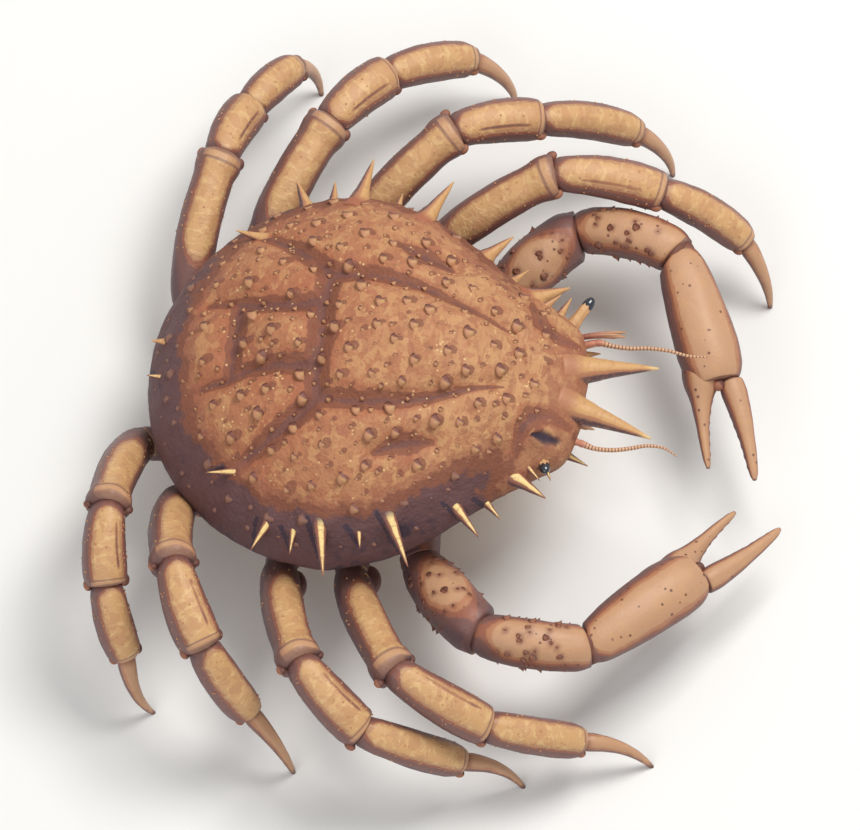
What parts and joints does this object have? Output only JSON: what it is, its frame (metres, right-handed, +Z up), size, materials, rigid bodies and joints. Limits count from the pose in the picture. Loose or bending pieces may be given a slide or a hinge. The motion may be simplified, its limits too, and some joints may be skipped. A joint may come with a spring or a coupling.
{
  "type": "spider crab",
  "caption": "Still life-size spiny spider crab: domed carapace with horns, spines and warts, two claws and eight arched walking legs resting on their toes",
  "frame": {"origin": "on the floor, under the middle of the whole model's bounding box", "axes": "+X is the way the crab faces, +Y is its left side, +Z is up"},
  "size_m": [0.2433, 0.2919, 0.0955],
  "materials": {
    "carapace_shell": "matt orange-brown shell, redder in the grooves and purple-brown on the flanks, with granules",
    "leg_shell": "satin golden tan shell with purple-brown sides",
    "toe_shell": "smooth pale tan horn",
    "claw_shell": "satin pinkish tan shell with dark red-brown spots and warts",
    "underside_shell": "matt pale buff shell",
    "eye": "glossy blue-black eye on a tan stalk",
    "antenna": "reddish root and a beaded whip in cream and brown"
  },
  "bodies": {
    "root": {"carapace": "carapace_shell", "thorax": "underside_shell", "abdomen": "underside_shell", "left_eye": "eye", "left_antenna": "antenna", "left_maxilliped": "underside_shell", "left_claw_basis": "claw_shell", "left_claw_merus": "claw_shell", "left_claw_carpus": "claw_shell", "left_claw_palm": "claw_shell", "left_claw_finger": "claw_shell", "left_leg1_basis": "leg_shell", "left_leg1_merus": "leg_shell", "left_leg1_carpus": "leg_shell", "left_leg1_propodus": "leg_shell", "left_leg1_dactyl": "toe_shell", "left_leg2_basis": "leg_shell", "left_leg2_merus": "leg_shell", "left_leg2_carpus": "leg_shell", "left_leg2_propodus": "leg_shell", "left_leg2_dactyl": "toe_shell", "left_leg3_basis": "leg_shell", "left_leg3_merus": "leg_shell", "left_leg3_carpus": "leg_shell", "left_leg3_propodus": "leg_shell", "left_leg3_dactyl": "toe_shell", "left_leg4_basis": "leg_shell", "left_leg4_merus": "leg_shell", "left_leg4_carpus": "leg_shell", "left_leg4_propodus": "leg_shell", "left_leg4_dactyl": "toe_shell", "right_eye": "eye", "right_antenna": "antenna", "right_maxilliped": "underside_shell", "right_claw_basis": "claw_shell", "right_claw_merus": "claw_shell", "right_claw_carpus": "claw_shell", "right_claw_palm": "claw_shell", "right_claw_finger": "claw_shell", "right_leg1_basis": "leg_shell", "right_leg1_merus": "leg_shell", "right_leg1_carpus": "leg_shell", "right_leg1_propodus": "leg_shell", "right_leg1_dactyl": "toe_shell", "right_leg2_basis": "leg_shell", "right_leg2_merus": "leg_shell", "right_leg2_carpus": "leg_shell", "right_leg2_propodus": "leg_shell", "right_leg2_dactyl": "toe_shell", "right_leg3_basis": "leg_shell", "right_leg3_merus": "leg_shell", "right_leg3_carpus": "leg_shell", "right_leg3_propodus": "leg_shell", "right_leg3_dactyl": "toe_shell", "right_leg4_basis": "leg_shell", "right_leg4_merus": "leg_shell", "right_leg4_carpus": "leg_shell", "right_leg4_propodus": "leg_shell", "right_leg4_dactyl": "toe_shell"}
  },
  "joints": []
}
